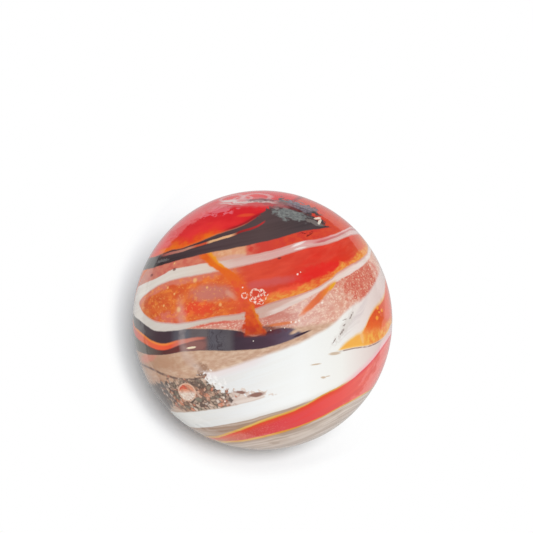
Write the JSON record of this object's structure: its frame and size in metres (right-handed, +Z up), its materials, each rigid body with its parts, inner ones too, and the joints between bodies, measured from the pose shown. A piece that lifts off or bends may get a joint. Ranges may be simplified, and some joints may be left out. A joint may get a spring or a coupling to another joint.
{
  "type": "glass marble",
  "caption": "Solid round ball of clear glass with swirled ribbons and patches of coloured glass fused into it and a few small bubbles.",
  "frame": {"origin": "centre of the ball", "axes": "+Z up as the ball lies; the swirled face that the picture shows looks up and to the front, between +Z and -Y"},
  "size_m": [0.025, 0.025, 0.025],
  "materials": {
    "swirled_glass": "polished"
  },
  "bodies": {
    "root": {"marble": "swirled_glass"}
  },
  "joints": []
}
